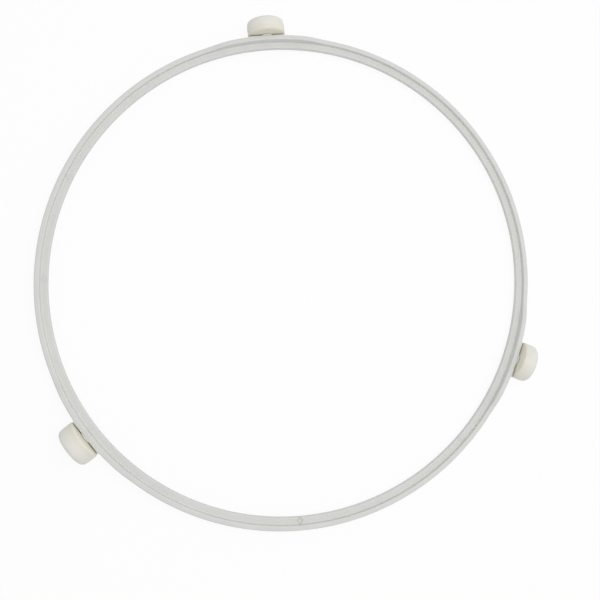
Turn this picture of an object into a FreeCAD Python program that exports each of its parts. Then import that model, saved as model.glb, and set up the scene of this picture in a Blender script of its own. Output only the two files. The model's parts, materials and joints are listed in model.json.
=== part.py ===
"""Roller ring of a microwave oven: one moulded ring and three rollers that snap onto its axles.

Millimetres, +Z up. The origin is on the ring's axis, on the floor that the rollers stand on.
"""
import FreeCAD
import Part
import math
import os

# Ring: a flat inner flange with an upright rim outside it
rim_outer_radius = 101.5
rim_wall = 1.95
rim_height = 4.8
flange_width = 2.6
flange_thickness = 2.6
floor_clearance = 3.0
rim_edge_bevel = 0.4

# Hump of the rim at each roller, and the flat-faced pad on its outside
hump_rise = 1.5
hump_level_length = 30.0
hump_ramp_length = 12.0
pad_rise = 0.15
pad_width = 16.0

# Axle: a collar rooted in the pad, a shank and a split end with a barb
axle_diameter = 4.0
collar_width = 0.45
collar_length = 0.2
collar_root = 0.3
barb_height = 0.45
barb_length = 1.4
barb_taper = 0.85
slot_width = 0.9
slot_length = 4.5

# Roller: a straight tread with a large rounding on its outer edge
roller_count = 3
roller_diameter = 15.8
roller_length = 6.45
outer_edge_round = 1.9

# Fits between roller and axle
running_clearance = 0.08
end_float = 0.1
barb_clearance = 0.9
barb_recess = 0.3

# Places that follow from those sizes
axle_height = roller_diameter / 2
axle_radius = axle_diameter / 2
collar_radius = axle_radius + collar_width
ring_bottom = floor_clearance
flange_top = ring_bottom + flange_thickness
rim_top = ring_bottom + rim_height
hump_top = rim_top + hump_rise
rim_inner_radius = rim_outer_radius - rim_wall
flange_inner_radius = rim_inner_radius - flange_width
pad_face = rim_outer_radius + pad_rise
collar_face = pad_face + collar_length
roller_inner_face = collar_face + end_float
roller_outer_face = roller_inner_face + roller_length
axle_tip = roller_outer_face - barb_recess
barb_seat = axle_tip - barb_length

# Tools that cut or trim reach past the ring by this much
overreach = 5.0
# Largest error of a point that counts as lying on a surface
touch = 0.01

UP = FreeCAD.Vector(0, 0, 1)
RADIAL = FreeCAD.Vector(1, 0, 0)
FIRST_ROLLER_ANGLE = 90.0


def roller_angles():
    """Angle of each axle about +Z, in degrees."""
    return [FIRST_ROLLER_ANGLE + 360.0 * index / roller_count for index in range(roller_count)]


def turned(shape, angle):
    """Copy of a shape modelled at +X, turned to an axle's angle."""
    copy = shape.copy()
    copy.rotate(FreeCAD.Vector(0, 0, 0), UP, angle)
    return copy


def tube(inner_radius, outer_radius, bottom, top):
    """Upright tube round the ring's axis."""
    base = FreeCAD.Vector(0, 0, bottom)
    outside = Part.makeCylinder(outer_radius, top - bottom, base)
    return outside.cut(Part.makeCylinder(inner_radius, top - bottom, base))


def arc(start, middle, end):
    """Edge of a circular arc through three points."""
    return Part.Arc(start, middle, end).toShape()


def line(start, end):
    """Straight edge between two points."""
    return Part.LineSegment(start, end).toShape()


def hump_outline():
    """Face across an axle: a level top and an S-shaped ramp of two tangent arcs on each side."""
    half_run = hump_ramp_length / 2
    half_rise = hump_rise / 2
    radius = (half_run ** 2 + half_rise ** 2) / (2 * half_rise)
    half_turn = math.asin(half_run / radius) / 2
    bulge_run = radius * math.sin(half_turn)
    bulge_rise = radius * (1 - math.cos(half_turn))
    level = hump_level_length / 2
    foot = level + hump_ramp_length

    def at(across, height):
        return FreeCAD.Vector(0, across, height)

    edges = []
    for side in (-1, 1):
        shoulder = at(side * level, hump_top)
        upper = at(side * (level + bulge_run), hump_top - bulge_rise)
        inflection = at(side * (level + half_run), hump_top - half_rise)
        lower = at(side * (foot - bulge_run), rim_top + bulge_rise)
        toe = at(side * foot, rim_top)
        edges.append(arc(shoulder, upper, inflection))
        edges.append(arc(inflection, lower, toe))
        edges.append(line(toe, at(side * foot, ring_bottom)))
    edges.append(line(at(-level, hump_top), at(level, hump_top)))
    edges.append(line(at(-foot, ring_bottom), at(foot, ring_bottom)))
    return Part.Face(Part.Wire(Part.__sortEdges__(edges)))


def rim():
    """Upright rim, trimmed to its plain height between the rollers and to a hump at each roller."""
    trim = Part.makeCylinder(rim_outer_radius + overreach, rim_height, FreeCAD.Vector(0, 0, ring_bottom))
    hump = hump_outline().extrude(RADIAL * (rim_outer_radius + overreach))
    trim = trim.fuse([turned(hump, angle) for angle in roller_angles()])
    return tube(rim_inner_radius, rim_outer_radius, ring_bottom, hump_top).common(trim)


def flange():
    """Flat inner flange, carried half-way into the rim so that the two make one moulding."""
    return tube(flange_inner_radius, rim_inner_radius + rim_wall / 2, ring_bottom, flange_top)


def edges_where(shape, test):
    """Edges of which both ends and the middle pass a test."""
    chosen = []
    for edge in shape.Edges:
        first, last = edge.ParameterRange
        points = [edge.valueAt(first + (last - first) * share) for share in (0, 0.5, 1)]
        if all(test(point) for point in points):
            chosen.append(edge)
    return chosen


def on_rim_top(point):
    """On one of the two edges that run along the top of the rim and over its humps."""
    return point.z > rim_top - touch


def pad():
    """Pad on the outside of the rim at +X: flat-faced, as high as the hump, with its top edge bevelled."""
    root = rim_inner_radius + rim_wall / 2

    def at(along, height):
        return FreeCAD.Vector(along, -pad_width / 2, height)

    outline = [
        at(root, ring_bottom),
        at(pad_face, ring_bottom),
        at(pad_face, hump_top - rim_edge_bevel),
        at(pad_face - rim_edge_bevel, hump_top),
        at(root, hump_top),
        at(root, ring_bottom),
    ]
    return Part.Face(Part.makePolygon(outline)).extrude(FreeCAD.Vector(0, pad_width, 0))


def axle():
    """Collar, shank and barbed end along +X at axle height, split by an upright slot."""
    centre = FreeCAD.Vector(0, 0, axle_height)
    root = pad_face - collar_root
    barb_radius = axle_radius + barb_height

    def at(along, radius):
        return centre + FreeCAD.Vector(along, 0, radius)

    outline = [
        at(root, 0),
        at(root, collar_radius),
        at(collar_face, collar_radius),
        at(collar_face, axle_radius),
        at(barb_seat, axle_radius),
        at(barb_seat, barb_radius),
        at(axle_tip, barb_radius - barb_taper),
        at(axle_tip, 0),
        at(root, 0),
    ]
    solid = Part.Face(Part.makePolygon(outline)).revolve(centre, RADIAL, 360)
    slot = Part.makeBox(
        slot_length + overreach,
        slot_width,
        2 * (barb_radius + overreach),
        FreeCAD.Vector(axle_tip - slot_length, -slot_width / 2, axle_height - barb_radius - overreach),
    )
    return solid.cut(slot)


def ring():
    """The whole moulding: flange, rim with its humps, pads and axles."""
    body = rim().fuse(flange()).removeSplitter()
    body = body.makeChamfer(rim_edge_bevel, edges_where(body, on_rim_top))
    seats = [turned(shape, angle) for shape in (pad(), axle()) for angle in roller_angles()]
    return body.fuse(seats).removeSplitter()


def roller():
    """Wheel on the axle at +X: a tread with a rounded outer edge, a bore and a recess that holds the barb."""
    centre = FreeCAD.Vector(0, 0, axle_height)
    tread_radius = roller_diameter / 2
    bore_radius = axle_radius + running_clearance
    recess_radius = axle_radius + barb_height + barb_clearance
    recess_floor = barb_seat - end_float
    rounding_start = roller_outer_face - outer_edge_round
    rounding_reach = outer_edge_round * math.sin(math.radians(45))

    def at(along, radius):
        return centre + FreeCAD.Vector(along, 0, radius)

    tread_end = at(rounding_start, tread_radius)
    rounding_centre = at(rounding_start, tread_radius - outer_edge_round)
    rounding_middle = rounding_centre + FreeCAD.Vector(rounding_reach, 0, rounding_reach)
    face_start = at(roller_outer_face, tread_radius - outer_edge_round)
    corners = [
        face_start,
        at(roller_outer_face, recess_radius),
        at(recess_floor, recess_radius),
        at(recess_floor, bore_radius),
        at(roller_inner_face, bore_radius),
        at(roller_inner_face, tread_radius),
        tread_end,
    ]
    edges = [line(start, end) for start, end in zip(corners, corners[1:])]
    edges.append(arc(tread_end, rounding_middle, face_start))
    return Part.Face(Part.Wire(edges)).revolve(centre, RADIAL, 360)


def main():
    """Write each piece to its own file."""
    os.makedirs("parts", exist_ok=True)
    pieces = {"ring": ring()}
    wheel = roller()
    for number, angle in enumerate(roller_angles(), start=1):
        pieces[f"roller_{number}"] = turned(wheel, angle)
    for name, shape in pieces.items():
        shape.exportStep(f"parts/{name}.step")
        box = shape.optimalBoundingBox(False)
        print(
            f"{name}: {len(shape.Solids)} solid, valid {shape.isValid()}, {shape.Volume:.1f} mm3,"
            f" z {box.ZMin:.2f} to {box.ZMax:.2f}"
        )


main()
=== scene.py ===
# %% [markdown]
# # Roller ring of a microwave oven
# A pale grey plastic ring goes round on the oven's floor on three cream rollers. Each roller spins on an
# axle that is moulded with the ring. The engineering model of the ring is loaded first, as a fixed frame.
# Everything below is built in that frame, in metres, and then stands in for the plain solids, so it has
# to keep their places and their size.

# %% Load the frame
import json
import math

import bpy
from mathutils import Matrix, Vector


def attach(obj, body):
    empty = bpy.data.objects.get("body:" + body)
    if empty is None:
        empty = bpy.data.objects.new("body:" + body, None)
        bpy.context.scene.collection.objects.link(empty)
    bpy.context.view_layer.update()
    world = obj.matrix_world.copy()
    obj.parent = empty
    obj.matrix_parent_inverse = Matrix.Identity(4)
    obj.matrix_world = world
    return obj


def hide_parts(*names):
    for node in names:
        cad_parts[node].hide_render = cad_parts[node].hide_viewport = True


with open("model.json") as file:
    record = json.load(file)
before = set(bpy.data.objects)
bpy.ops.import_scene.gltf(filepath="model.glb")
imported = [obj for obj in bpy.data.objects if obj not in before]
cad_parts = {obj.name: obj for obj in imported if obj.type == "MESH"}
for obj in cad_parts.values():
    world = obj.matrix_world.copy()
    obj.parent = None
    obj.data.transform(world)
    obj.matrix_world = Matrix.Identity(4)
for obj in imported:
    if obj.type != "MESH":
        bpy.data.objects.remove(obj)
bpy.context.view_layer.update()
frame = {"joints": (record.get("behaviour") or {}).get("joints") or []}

# %% [markdown]
# ## Formulas as nodes
# A node tree is a formula drawn as boxes. Placing every Math node by hand hides the formula, so one small
# class wraps an output socket: adding or multiplying two of them adds the Math node that does it. Every
# other node comes from the one method `node`, which sets a node's own settings first, because they decide
# which sockets it has, and then fills the sockets with values or links.

# %% A socket that does arithmetic
class Flow:
    """One output socket. Arithmetic on it adds Math nodes to its tree."""

    def __init__(self, socket):
        self.socket = socket
        self.tree = socket.id_data

    @classmethod
    def node(cls, tree, kind, settings=(), inputs=(), output=0):
        """Add a node of any kind and give back one of its outputs."""
        made = tree.nodes.new(kind)
        for name, value in dict(settings).items():
            if name == "items":
                # An Index Switch starts with two choices and gets the rest one by one
                while len(made.index_switch_items) < value:
                    made.index_switch_items.new()
            else:
                setattr(made, name, value)
        for name, value in dict(inputs).items():
            for part in value if isinstance(value, list) else [value]:
                if isinstance(part, Flow):
                    tree.links.new(part.socket, made.inputs[name])
                else:
                    made.inputs[name].default_value = part
        return cls(made.outputs[output])

    def math(self, operation, *others):
        """Add a Math node that takes this socket first."""
        return Flow.node(self.tree, "ShaderNodeMath", {"operation": operation}, enumerate((self, *others)))

    def clamped(self):
        """Keep the value from 0 to 1."""
        return self.math("MAXIMUM", 0.0).math("MINIMUM", 1.0)

    def __add__(self, other):
        return self.math("ADD", other)

    def __sub__(self, other):
        return self.math("SUBTRACT", other)

    def __rsub__(self, other):
        return (self * -1) + other

    def __mul__(self, other):
        return self.math("MULTIPLY", other)

    def __truediv__(self, other):
        return self.math("DIVIDE", other)

    def __rtruediv__(self, other):
        return self.math("POWER", -1) * other

    def __gt__(self, other):
        return self.math("GREATER_THAN", other)

    __radd__ = __add__
    __rmul__ = __mul__


print("a socket can do: + - * / >")

# %% [markdown]
# ## Recipes and castings
# Each piece is a Geometry Nodes tree, its recipe, with one named input for each size. The sizes are in
# millimetres, as on a drawing, and the last nodes scale the result to metres, make its copies real and
# give it its material. A recipe is run once, and the plain mesh that it leaves is the piece. A Weighted
# Normal modifier goes with it, so that flat faces shade flat and the bend of the light stays in the
# narrow roundings.

# %% Start a recipe, give it sizes, end it and cast it
MM = 0.001


def start_recipe(name):
    """New Geometry Nodes tree for a modifier."""
    tree = bpy.data.node_groups.new(name, "GeometryNodeTree")
    tree.is_modifier = True
    tree.interface.new_socket("Geometry", in_out="OUTPUT", socket_type="NodeSocketGeometry")
    return tree


def add_sizes(tree, sizes):
    """Give a recipe a named input for each of these sizes, and give back all its inputs as sockets."""
    for label in sizes:
        tree.interface.new_socket(label, in_out="INPUT", socket_type="NodeSocketFloat")
    entry = tree.nodes.new("NodeGroupInput")
    return {socket.name: Flow(socket) for socket in entry.outputs}


def end_recipe(shape, finish):
    """Scale a recipe's shape to metres, make it real, paint it and lead it out."""
    tree = shape.tree
    metres = Flow.node(tree, "GeometryNodeTransform", (), {"Geometry": shape, "Scale": (MM, MM, MM)})
    real = Flow.node(tree, "GeometryNodeRealizeInstances", (), {"Geometry": metres})
    painted = Flow.node(tree, "GeometryNodeSetMaterial", (), {"Geometry": real, "Material": finish})
    way_out = tree.nodes.new("NodeGroupOutput")
    tree.links.new(painted.socket, way_out.inputs["Geometry"])


def cast(name, tree, sizes):
    """Run a recipe with these sizes and keep the result as a plain mesh object."""
    piece = bpy.data.objects.new(name, bpy.data.meshes.new(name))
    bpy.context.scene.collection.objects.link(piece)
    modifier = piece.modifiers.new("recipe", "NODES")
    modifier.node_group = tree
    for item in tree.interface.items_tree:
        if item.in_out == "INPUT":
            modifier[item.identifier] = float(sizes[item.name])
    piece.modifiers.new("flat faces", "WEIGHTED_NORMAL").keep_sharp = True
    finished = piece.evaluated_get(bpy.context.evaluated_depsgraph_get())
    mesh = bpy.data.meshes.new_from_object(finished)
    piece.modifiers.clear()
    piece.data = mesh
    print(f"{name}: {len(mesh.vertices)} points, {len(mesh.polygons)} faces")
    return piece


print("one unit of a recipe, in metres:", MM)

# %% [markdown]
# ## Turned bodies
# The ring, its axles and the rollers are all round about an axis, so all of them are an outline swept
# round a circle. The outline is a list of corners, each with its distance from the axis, its height and
# its own rounding, and Fillet Curve does the rounding. Corners run clockwise, which makes the faces point
# outwards.

# %% Sweep a rounded outline round an axis
# Radius of the circle that an outline is swept round, and from which its corners are measured
SPINDLE = 1.0
# Points that lie closer together than this become one
WELD = 1e-4


def pick(tree, values, kind):
    """Field that gives each point, by its number, its own value from a list."""
    number = Flow.node(tree, "GeometryNodeInputIndex")
    choices = {"Index": number}
    choices.update({str(place): value for place, value in enumerate(values)})
    return Flow.node(
        tree, "GeometryNodeIndexSwitch", {"data_type": kind, "items": len(values)}, choices
    )


def vector(tree, x, y, z):
    """Vector from three values."""
    return Flow.node(tree, "ShaderNodeCombineXYZ", (), {"X": x, "Y": y, "Z": z})


def turned_body(tree, corners, steps, segments=1):
    """Sweep (radius, height, rounding) corners round the Z axis."""
    places = [vector(tree, radius - SPINDLE, height * -1, 0.0) for radius, height, rounding in corners]
    points = Flow.node(
        tree, "GeometryNodePoints", (),
        {"Count": len(corners), "Position": pick(tree, places, "VECTOR")},
    )
    outline = Flow.node(tree, "GeometryNodePointsToCurves", (), {"Points": points})
    closed = Flow.node(tree, "GeometryNodeSetSplineCyclic", (), {"Geometry": outline, "Cyclic": True})
    rounded = Flow.node(
        tree, "GeometryNodeFilletCurve", {"mode": "POLY"},
        {
            "Curve": closed,
            "Count": segments,
            "Radius": pick(tree, [rounding for radius, height, rounding in corners], "FLOAT"),
            "Limit Radius": True,
        },
    )
    circle = Flow.node(
        tree, "GeometryNodeCurvePrimitiveCircle", (), {"Resolution": steps, "Radius": SPINDLE}
    )
    swept = Flow.node(
        tree, "GeometryNodeCurveToMesh", (), {"Curve": circle, "Profile Curve": rounded}
    )
    return Flow.node(tree, "GeometryNodeMergeByDistance", (), {"Geometry": swept, "Distance": WELD})


print("points of an outline merge within", WELD, "mm")

# %% [markdown]
# ## Grey moulded plastic
# The ring is a satin moulded plastic in a pale, almost neutral grey. It looks plain, but it isn't one flat
# colour: the melt leaves soft lighter and darker patches a few millimetres wide, the mould's fine spark
# texture leaves a grain of about a fifth of a millimetre, and the gloss wanders a little with both. All
# three come from noise on Object coordinates, so they stay with the piece and keep their real scale.

# %% Coordinates, noise and blends for a finish
def start_finish(name):
    """New material with its shader, and the piece's own coordinates in millimetres."""
    material = bpy.data.materials.new(name)
    material.use_nodes = True
    tree = material.node_tree
    place = Flow.node(tree, "ShaderNodeTexCoord", (), (), "Object")
    scaled = Flow.node(
        tree, "ShaderNodeVectorMath", {"operation": "SCALE"}, {"Vector": place, "Scale": 1 / MM}
    )
    return material, tree, tree.nodes["Principled BSDF"], scaled


def noise(place, size, detail, roughness=0.5):
    """Noise from -0.5 to 0.5 whose patches are about this many millimetres wide."""
    from_zero = Flow.node(
        place.tree, "ShaderNodeTexNoise", {"noise_dimensions": "3D"},
        {"Vector": place, "Scale": 1 / size, "Detail": detail, "Roughness": roughness},
    )
    return from_zero - 0.5


def blend_colours(amount, first, second):
    """Colour between two colours."""
    ends = [end if isinstance(end, Flow) else (*end, 1.0) for end in (first, second)]
    # A Mix node has sockets for numbers, vectors and colours: 6 and 7 take colours, and 2 gives one
    return Flow.node(
        amount.tree, "ShaderNodeMix", {"data_type": "RGBA"}, {0: amount, 6: ends[0], 7: ends[1]}, 2
    )


print("finishes are measured in units of", MM, "m")

# %% Grey plastic
# Fineness of the noise
PATCH_DETAIL = 3.0
GRAIN_DETAIL = 2.0
GRAIN_ROUGHNESS = 0.6
# How far patches and grain move the tone, from light at 0 to dark at 1, and the roughness
PATCH_TO_TONE = 1.6
GRAIN_TO_TONE = 0.4
PATCH_TO_ROUGHNESS = 0.12
GRAIN_TO_ROUGHNESS = 0.1
# Relief of the grain, and the strength of the plastic's reflections
GRAIN_DEPTH = 0.05 * MM
GRAIN_STRENGTH = 0.06
REFLECTION = 0.4


def satin_plastic(name, light, dark, patch, grain, dullness, tint=None):
    """Satin moulded plastic: soft patches of two tones, a fine grain and a gloss that wanders."""
    material, tree, shader, place = start_finish(name)
    patches = noise(place, patch, PATCH_DETAIL)
    specks = noise(place, grain, GRAIN_DETAIL, GRAIN_ROUGHNESS)
    tone = (patches * PATCH_TO_TONE + specks * GRAIN_TO_TONE + 0.5).clamped()
    roughness = patches * PATCH_TO_ROUGHNESS + specks * GRAIN_TO_ROUGHNESS + dullness
    bump = Flow.node(
        tree, "ShaderNodeBump", (),
        {"Strength": GRAIN_STRENGTH, "Distance": GRAIN_DEPTH, "Height": specks},
    )
    colour = blend_colours(tone, light, dark)
    if tint:
        colour = tint(place, patches, colour)
    tree.links.new(colour.socket, shader.inputs["Base Color"])
    tree.links.new(roughness.socket, shader.inputs["Roughness"])
    tree.links.new(bump.socket, shader.inputs["Normal"])
    shader.inputs["Specular IOR Level"].default_value = REFLECTION
    print(f"{name}: {len(tree.nodes)} nodes")
    return material


grey_plastic = satin_plastic(
    "grey_plastic", (0.665, 0.667, 0.647), (0.63, 0.632, 0.612), patch=9.0, grain=0.2, dullness=0.46
)

# %% [markdown]
# ## Cream moulded plastic
# The rollers are a warmer, smoother plastic. They are polished by running on the oven's floor, so their
# grain is finer and their gloss a little higher. The same function serves, with other tones. On the side
# next to the ring the cream is painted darker and warmer. This is painted shade, standing for the warm
# shade in the gap between roller and ring. How far the painted shade reaches is worked out from the
# distance to the ring's axis, so that it sits on the inner side of all three rollers.

# %% Cream plastic
# Darker, warmer cream of the painted shade on the rollers' side next to the ring
WARM_SHADE = (0.735, 0.705, 0.6)
# Distances from the ring's axis at which the painted shade is full and at which it ends
WARM_SHADE_FULL = 101.9
WARM_SHADE_END = 104.9
# How far the patches move the painted shade's edge
PATCH_TO_WARM_SHADE = 0.4


def painted_warm_shade(place, patches, colour):
    """Painted shade: blend a colour towards a darker, warmer cream on the side that faces the ring."""
    x, y = (Flow.node(place.tree, "ShaderNodeSeparateXYZ", (), {"Vector": place}, axis) for axis in "XY")
    from_axis = (x * x + y * y).math("SQRT")
    reach = (WARM_SHADE_END - from_axis) / (WARM_SHADE_END - WARM_SHADE_FULL)
    amount = (reach + patches * PATCH_TO_WARM_SHADE).clamped()
    return blend_colours(amount, colour, WARM_SHADE)


# The tint is a painted warm shade on the side of each roller next to the ring
cream_plastic = satin_plastic(
    "cream_plastic", (0.776, 0.762, 0.71), (0.736, 0.722, 0.665), patch=5.0, grain=0.15, dullness=0.38,
    tint=painted_warm_shade,
)

# %% [markdown]
# ## The ring's section
# The ring is an L in section: a flat inner flange, and outside it an upright rim. The mould leaves a small
# rounding on every edge, larger on the rim's top than on the flange, and one in the corner between the two.
# Swept round its axis, the L already gives the whole ring between the rollers.

# %% Section of the ring
ring_sizes = {
    "Rim radius": 101.5,
    "Rim wall": 1.95,
    "Rim height": 4.8,
    "Flange width": 2.6,
    "Flange thickness": 2.6,
    "Floor gap": 3.0,
    "Rim rounding": 0.45,
    "Flange rounding": 0.35,
    "Root rounding": 0.5,
}
RING_STEPS = 1080
EDGE_SEGMENTS = 6

recipe = start_recipe("roller ring")
size = add_sizes(recipe, ring_sizes)
rim_inside = size["Rim radius"] - size["Rim wall"]
flange_inside = rim_inside - size["Flange width"]
flange_top = size["Floor gap"] + size["Flange thickness"]
rim_top = size["Floor gap"] + size["Rim height"]
section = [
    (flange_inside, size["Floor gap"], size["Flange rounding"]),
    (flange_inside, flange_top, size["Flange rounding"]),
    (rim_inside, flange_top, size["Root rounding"]),
    (rim_inside, rim_top, size["Rim rounding"]),
    (size["Rim radius"], rim_top, size["Rim rounding"]),
    (size["Rim radius"], size["Floor gap"], size["Flange rounding"]),
]
plain_ring = turned_body(recipe, section, RING_STEPS, EDGE_SEGMENTS)
print("section corners:", len(section), "steps round the ring:", RING_STEPS)

# %% [markdown]
# ## Humps and pads
# At each roller the rim rises in a low hump with S-shaped ends, because the axle stands higher than the
# plain rim, and a pad as wide as the roller stands out a little, so that the roller runs along a flat face.
# Both follow a rule: they depend only on the distance from the nearest axle's line. So no second mesh is
# needed. Set Position lifts the points of the rim's top, and pushes out the points of its outside, by a
# formula in that distance.

# %% Distance from the nearest axle's line
ROLLERS = 3
FIRST_AXLE = math.radians(90)
PITCH = 2 * math.pi / ROLLERS

spot = Flow.node(recipe, "GeometryNodeInputPosition")
spot_x, spot_y, spot_z = (
    Flow.node(recipe, "ShaderNodeSeparateXYZ", (), {"Vector": spot}, axis) for axis in "XYZ"
)
from_axis = (spot_x * spot_x + spot_y * spot_y).math("SQRT")
bearing = spot_y.math("ARCTAN2", spot_x) - FIRST_AXLE + PITCH / 2
turn = bearing.math("FLOORED_MODULO", PITCH) - PITCH / 2
aside = (from_axis * turn.math("SINE")).math("ABSOLUTE")
print("rollers:", ROLLERS, "pitch in degrees:", math.degrees(PITCH))

# %% Lift the humps and push out the pads
hump_sizes = {
    "Hump rise": 1.5,
    "Hump level": 30.0,
    "Hump ramp": 12.0,
    "Pad rise": 0.15,
    "Pad width": 16.0,
    "Pad slope": 0.6,
}
size = add_sizes(recipe, hump_sizes)

# The climb goes from -1 at a hump's foot to 1 at its level top, and the S is two parabolas that meet
# half-way up
to_foot = size["Hump level"] / 2 + size["Hump ramp"] - aside
climb = (to_foot / size["Hump ramp"]).clamped() * 2 - 1
s_curve = climb - climb * climb.math("ABSOLUTE") / 2 + 0.5
on_top = spot_z > (flange_top + rim_top) / 2
lift = size["Hump rise"] * s_curve * on_top

# A pad's face is flat, so its distance from the ring's axis grows with the turn away from the axle
pad_face = size["Rim radius"] + size["Pad rise"]
pad_share = ((size["Pad width"] / 2 - aside) / size["Pad slope"]).clamped()
on_outside = from_axis > size["Rim radius"] - size["Rim wall"] / 2
push = (pad_face / turn.math("COSINE") - size["Rim radius"]) * pad_share * on_outside
stretch = push / from_axis + 1
shaped_ring = Flow.node(
    recipe, "GeometryNodeSetPosition", (),
    {
        "Geometry": plain_ring,
        "Position": vector(recipe, spot_x * stretch, spot_y * stretch, spot_z + lift),
    },
)
print("hump rise in millimetres:", hump_sizes["Hump rise"], "pad rise:", hump_sizes["Pad rise"])

# %% [markdown]
# ## Axles
# Each axle is moulded on its pad: a short collar that keeps the roller off the rim, a shank, and a barbed
# end that is split so that it can squeeze together while the roller is pushed on. One axle is turned about
# the Z axis, laid along X, and then copied to three points at the ring's centre, each with its own turn.
# The block that will cut its slot is copied in the same manner.

# %% Copies at each roller
def at_each_roller(tree, shape):
    """Copies of a shape that lies along X, one turned to each roller."""
    number = Flow.node(tree, "GeometryNodeInputIndex")
    heading = Flow.node(
        tree, "FunctionNodeAxisAngleToRotation", (),
        {"Axis": (0.0, 0.0, 1.0), "Angle": number * PITCH + FIRST_AXLE},
    )
    centres = Flow.node(tree, "GeometryNodePoints", (), {"Count": ROLLERS})
    copies = Flow.node(
        tree, "GeometryNodeInstanceOnPoints", (),
        {"Points": centres, "Instance": shape, "Rotation": heading},
    )
    return Flow.node(tree, "GeometryNodeRealizeInstances", (), {"Geometry": copies})


def laid_along_x(shape, height):
    """A body turned about Z, laid along X at a height above the floor."""
    return Flow.node(
        shape.tree, "GeometryNodeTransform", (),
        {
            "Geometry": shape,
            "Translation": vector(shape.tree, 0.0, 0.0, height),
            "Rotation": (0.0, math.pi / 2, 0.0),
        },
    )


print("copies of each shape:", ROLLERS)

# %% Axles
axle_sizes = {
    "Axle height": 7.9,
    "Axle radius": 2.0,
    "Collar radius": 2.45,
    "Collar root": 0.3,
    "Collar length": 0.2,
    "Barb radius": 2.45,
    "Barb taper": 0.85,
    "Barb length": 1.4,
    "Axle reach": 6.45,
    "Slot width": 0.9,
    "Slot length": 4.5,
}
AXLE_STEPS = 48
AXLE_SEGMENTS = 3
AXLE_ROUNDING = 0.12

size = add_sizes(recipe, axle_sizes)
collar_root = pad_face - size["Collar root"]
collar_face = pad_face + size["Collar length"]
axle_tip = pad_face + size["Axle reach"]
barb_seat = axle_tip - size["Barb length"]
axle_outline = [
    (0.0, collar_root, 0.0),
    (0.0, axle_tip, 0.0),
    (size["Barb radius"] - size["Barb taper"], axle_tip, AXLE_ROUNDING),
    (size["Barb radius"], barb_seat, AXLE_ROUNDING),
    (size["Axle radius"], barb_seat, 0.0),
    (size["Axle radius"], collar_face, 0.0),
    (size["Collar radius"], collar_face, AXLE_ROUNDING),
    (size["Collar radius"], collar_root, 0.0),
]
axle_body = turned_body(recipe, axle_outline, AXLE_STEPS, AXLE_SEGMENTS)
axles = at_each_roller(recipe, laid_along_x(axle_body, size["Axle height"]))
print("axles:", ROLLERS, "corners of their outline:", len(axle_outline))

# %% Slots in the axles
# How far the block that cuts a slot reaches past the axle
SLOT_OVERREACH = 3.0

slot_block = Flow.node(
    recipe, "GeometryNodeMeshCube", (),
    {
        "Size": vector(
            recipe,
            size["Slot length"] + SLOT_OVERREACH,
            size["Slot width"],
            size["Barb radius"] * 2 + SLOT_OVERREACH,
        ),
    },
)
slot_middle = axle_tip - (size["Slot length"] - SLOT_OVERREACH) / 2
placed_slot = Flow.node(
    recipe, "GeometryNodeTransform", (),
    {
        "Geometry": slot_block,
        "Translation": vector(recipe, slot_middle, 0.0, size["Axle height"]),
    },
)
slots = at_each_roller(recipe, placed_slot)
print("slot width in millimetres:", axle_sizes["Slot width"])

# %% [markdown]
# ## Ejector marks
# The pins that push the hot ring out of its mould each leave the outline of their tip on the flange's top,
# a round groove. One of them is plain to see, and the others have almost gone. Only those that can be seen
# are made, at the angles where they are seen: a short tube is turned once, copied to those places, and set
# into the flange by its own depth at each.

# %% Ejector marks
mark_sizes = {"Mark radius": 1.22, "Mark groove": 0.66, "Mark circle": 98.27}
# Depth of each mark by its angle on the ring, in degrees
mark_depths = {101.1: 0.05, 126.2: 0.05, 149.8: 0.15, 173.8: 0.15, 262.4: 0.4, 281.5: 0.08, 306.4: 0.05}
CUTTER_HEIGHT = 1.0
CUTTER_STEPS = 48

size = add_sizes(recipe, mark_sizes)
groove_inside = size["Mark radius"] - size["Mark groove"]
cutter_outline = [
    (groove_inside, 0.0, 0.0),
    (groove_inside, CUTTER_HEIGHT, 0.0),
    (size["Mark radius"], CUTTER_HEIGHT, 0.0),
    (size["Mark radius"], 0.0, 0.0),
]
cutter = turned_body(recipe, cutter_outline, CUTTER_STEPS)
mark_angle = pick(recipe, [math.radians(angle) for angle in mark_depths], "FLOAT")
mark_centres = Flow.node(
    recipe, "GeometryNodePoints", (),
    {
        "Count": len(mark_depths),
        "Position": vector(
            recipe,
            mark_angle.math("COSINE") * size["Mark circle"],
            mark_angle.math("SINE") * size["Mark circle"],
            flange_top - pick(recipe, list(mark_depths.values()), "FLOAT"),
        ),
    },
)
cutter_copies = Flow.node(
    recipe, "GeometryNodeInstanceOnPoints", (), {"Points": mark_centres, "Instance": cutter}
)
cutters = Flow.node(recipe, "GeometryNodeRealizeInstances", (), {"Geometry": cutter_copies})
print("ejector marks:", len(mark_depths))

# %% [markdown]
# ## One moulding
# The axles are joined to the ring by a boolean, not just pushed into it, because the real ring is a single
# shot of plastic and its mesh should have a single skin. The slots and the marks are cut away in the same
# manner. Edges that turn by more than a set angle are marked sharp, and all the others shade smooth.

# %% Join, cut and cast the ring
SHARP_TURN = math.radians(32)


def combine(tree, operation, first, others):
    """Boolean of meshes: the union of all, or the first less the others."""
    meshes = {"Mesh 1": first, "Mesh 2": others}
    if operation == "UNION":
        meshes = {"Mesh 2": [first, *others]}
    return Flow.node(
        tree, "GeometryNodeMeshBoolean", {"operation": operation, "solver": "MANIFOLD"}, meshes
    )


def shade(shape):
    """Smooth shading, with sharp edges where the surface turns sharply."""
    tree = shape.tree
    edge_turn = Flow.node(tree, "GeometryNodeInputMeshEdgeAngle")
    smooth = Flow.node(
        tree, "GeometryNodeSetShadeSmooth", {"domain": "FACE"}, {"Geometry": shape, "Shade Smooth": True}
    )
    return Flow.node(
        tree, "GeometryNodeSetShadeSmooth", {"domain": "EDGE"},
        {"Geometry": smooth, "Selection": edge_turn > SHARP_TURN, "Shade Smooth": False},
    )


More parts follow.
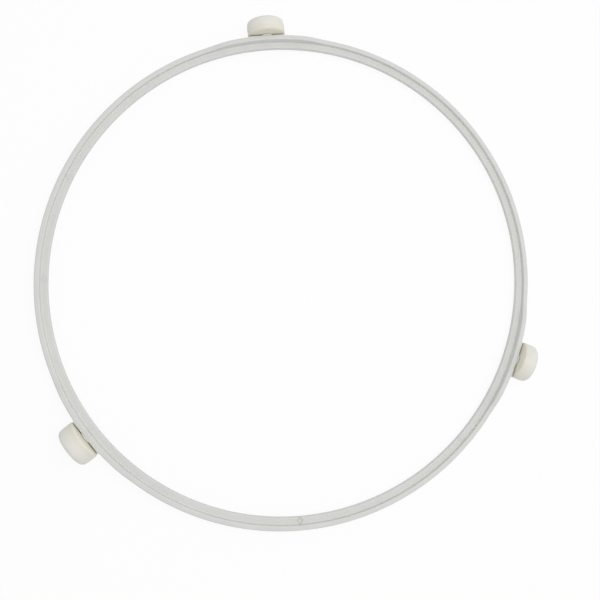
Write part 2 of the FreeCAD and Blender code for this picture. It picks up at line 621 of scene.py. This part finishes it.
joined = combine(recipe, "UNION", shaped_ring, [axles])
moulding = combine(recipe, "DIFFERENCE", joined, [slots, cutters])
end_recipe(shade(moulding), grey_plastic)
ring = cast("roller_ring", recipe, {**ring_sizes, **hump_sizes, **axle_sizes, **mark_sizes})
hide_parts("ring")
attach(ring, "ring")

# %% [markdown]
# ## Rollers
# A roller is a small wheel: a slightly crowned tread, a large rounding on its outer edge so that it doesn't
# catch, a bore that runs on the shank, and a recess in its outer face that holds the barb. It is one more
# turned body. All three come from one recipe, each with its own angle, which is taken from its joint in the
# frame.

# %% Recipe of a roller
roller_sizes = {
    "Tread radius": 7.9,
    "Inner drop": 0.05,
    "Outer drop": 0.3,
    "Crown place": 3.6,
    "Crown rounding": 9.0,
    "Length": 6.45,
    "Inner rounding": 0.8,
    "Outer rounding": 1.8,
    "Bore radius": 2.08,
    "Recess radius": 3.35,
    "Recess depth": 1.8,
    "Recess rounding": 0.25,
    "Start": 101.95,
    "Height": 7.9,
    "Angle": 0.0,
}
ROLLER_STEPS = 128
ROLLER_SEGMENTS = 10

wheel_recipe = start_recipe("roller")
wheel = add_sizes(wheel_recipe, roller_sizes)
inner_face = wheel["Start"]
outer_face = inner_face + wheel["Length"]
recess_floor = outer_face - wheel["Recess depth"]
wheel_outline = [
    (wheel["Bore radius"], inner_face, wheel["Recess rounding"]),
    (wheel["Bore radius"], recess_floor, 0.0),
    (wheel["Recess radius"], recess_floor, 0.0),
    (wheel["Recess radius"], outer_face, wheel["Recess rounding"]),
    (wheel["Tread radius"] - wheel["Outer drop"], outer_face, wheel["Outer rounding"]),
    (wheel["Tread radius"], inner_face + wheel["Crown place"], wheel["Crown rounding"]),
    (wheel["Tread radius"] - wheel["Inner drop"], inner_face, wheel["Inner rounding"]),
]
wheel_body = turned_body(wheel_recipe, wheel_outline, ROLLER_STEPS, ROLLER_SEGMENTS)
placed_wheel = Flow.node(
    wheel_recipe, "GeometryNodeTransform", (),
    {
        "Geometry": laid_along_x(wheel_body, wheel["Height"]),
        "Rotation": vector(wheel_recipe, 0.0, 0.0, wheel["Angle"]),
    },
)
end_recipe(shade(placed_wheel), cream_plastic)
print("roller recipe:", len(wheel_recipe.nodes), "nodes")

# %% Cast the rollers
for joint in frame["joints"]:
    body = joint["child"]
    axis = Vector(joint["axis"])
    wheel_piece = cast(f"{body}_wheel", wheel_recipe, {**roller_sizes, "Angle": math.atan2(axis.y, axis.x)})
    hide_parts(body)
    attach(wheel_piece, body)

# %% [markdown]
# ## Floor
# The ring stands on a plain white floor. Seen by the camera the floor is mostly a white of strength 1, and
# for the rest it is a matt white that takes the light, so that a faint shadow stays under the ring. Light
# Path tells the two apart, and the floor that lights the ring from below stays an ordinary matt white.

# %% Floor
FLOOR_SIZE = 6.0
SHADOW_SHARE = 0.1
WHITE = (1.0, 1.0, 1.0, 1.0)
MATT_WHITE = (0.9, 0.9, 0.9, 1.0)


def looked_at(tree):
    """1 for a ray from the camera, straight, mirrored or through glass, and 0 for other light."""
    seen = Flow.node(tree, "ShaderNodeLightPath", (), (), "Is Camera Ray")
    mirrored = Flow.node(tree, "ShaderNodeLightPath", (), (), "Is Glossy Ray")
    through = Flow.node(tree, "ShaderNodeLightPath", (), (), "Is Transmission Ray")
    return (seen + mirrored + through).math("MINIMUM", 1.0)


def white_floor():
    """Matt white that looks nearly self-lit to the camera and to reflections."""
    material = bpy.data.materials.new("white_floor")
    material.use_nodes = True
    tree = material.node_tree
    tree.nodes.remove(tree.nodes["Principled BSDF"])
    matt = Flow.node(tree, "ShaderNodeBsdfDiffuse", (), {"Color": MATT_WHITE})
    glow = Flow.node(tree, "ShaderNodeEmission", (), {"Color": WHITE, "Strength": 1.0})
    share = looked_at(tree) * (1 - SHADOW_SHARE)
    mix = Flow.node(tree, "ShaderNodeMixShader", (), {0: share, 1: matt, 2: glow})
    tree.links.new(mix.socket, tree.nodes["Material Output"].inputs["Surface"])
    return material


floor_mesh = bpy.data.meshes.new("floor")
half = FLOOR_SIZE / 2
floor_corners = [(-half, -half, 0.0), (half, -half, 0.0), (half, half, 0.0), (-half, half, 0.0)]
floor_mesh.from_pydata(floor_corners, [], [(0, 1, 2, 3)])
floor_mesh.materials.append(white_floor())
floor = bpy.data.objects.new("floor", floor_mesh)
bpy.context.scene.collection.objects.link(floor)
print("floor:", FLOOR_SIZE, "m wide")

# %% [markdown]
# ## Light
# Soft studio light: a white surround gives more than half of it, a little brighter low on the right and on
# the left, which lifts the walls that face those ways, and one panel overhead gives the level faces the
# rest. Together they light a level surface so that its colour comes out about as it is written. The bright
# sides could be two more lamps, but each lamp adds noise to the picture, and as parts of the surround they
# add almost none. To the camera and in reflections the surround is plain white, as the floor is.

# %% Surround
SURROUND = 0.585
GLOW_FOCUS = 4.0
# Direction and strength of each bright side
glows = {"right": (Vector((0.95, 0.25, 0.22)), 0.45), "left": (Vector((-0.9, -0.4, 0.22)), 0.1)}

world = bpy.data.worlds.new("surround")
world.use_nodes = True
bpy.context.scene.world = world
sky = world.node_tree
way = Flow.node(sky, "ShaderNodeTexCoord", (), (), "Generated")
brightness = SURROUND
for glow_way, glow_strength in glows.values():
    facing = Flow.node(
        sky, "ShaderNodeVectorMath", {"operation": "DOT_PRODUCT"},
        {0: way, 1: glow_way.normalized()}, "Value",
    )
    brightness = facing.math("MAXIMUM", 0.0).math("POWER", GLOW_FOCUS) * glow_strength + brightness
strength = brightness + looked_at(sky) * (1 - brightness)
sky.links.new(strength.socket, sky.nodes["Background"].inputs["Strength"])
sky.nodes["Background"].inputs["Color"].default_value = WHITE
print("surround:", SURROUND, "bright sides:", list(glows))

# %% Panel overhead
PANEL_PLACE = Vector((0.08, 0.015, 0.5))
PANEL_WIDTH = 0.25
PANEL_POWER = 1.01

light = bpy.data.lights.new("overhead", "AREA")
light.size = PANEL_WIDTH
light.energy = PANEL_POWER
lamp = bpy.data.objects.new("overhead", light)
lamp.location = PANEL_PLACE
lamp.rotation_euler = (-PANEL_PLACE).to_track_quat("-Z", "Y").to_euler()
bpy.context.scene.collection.objects.link(lamp)
bpy.context.scene.view_settings.view_transform = "Standard"
print("panel power in watts:", PANEL_POWER)

# %% [markdown]
# ## Camera
# The photograph was taken from almost straight above, with the camera rolled a little and the ring off the
# middle of the lens. A shifted lens gives that framing without turning the camera, so that the ring keeps
# its shape. The camera is set by where it stands, where its axis meets the floor, and its roll.

# %% Camera
EYE = Vector((-41.49, -17.52, 316.1)) * MM
AIM = Vector((39.66, 24.47, 0.0)) * MM
ROLL = math.radians(-8.754)
SENSOR_WIDTH = 36.0
FOCAL_LENGTH = 44.911
SHIFT_X = -0.1308
SHIFT_Y = -0.1592
NEAREST = 0.01

ahead = (AIM - EYE).normalized()
north = Vector((0.0, 1.0, 0.0))
level_up = (north - ahead * north.dot(ahead)).normalized()
level_right = ahead.cross(level_up)
up = level_up * math.cos(ROLL) - level_right * math.sin(ROLL)
right = level_up * math.sin(ROLL) + level_right * math.cos(ROLL)

lens = bpy.data.cameras.new("camera")
lens.sensor_width = SENSOR_WIDTH
lens.lens = FOCAL_LENGTH
lens.shift_x = SHIFT_X
lens.shift_y = SHIFT_Y
lens.clip_start = NEAREST
camera = bpy.data.objects.new("camera", lens)
camera.matrix_world = Matrix.Translation(EYE) @ Matrix((right, up, -ahead)).transposed().to_4x4()
bpy.context.scene.collection.objects.link(camera)
bpy.context.scene.camera = camera
print("camera height in metres:", round(EYE.z, 3))
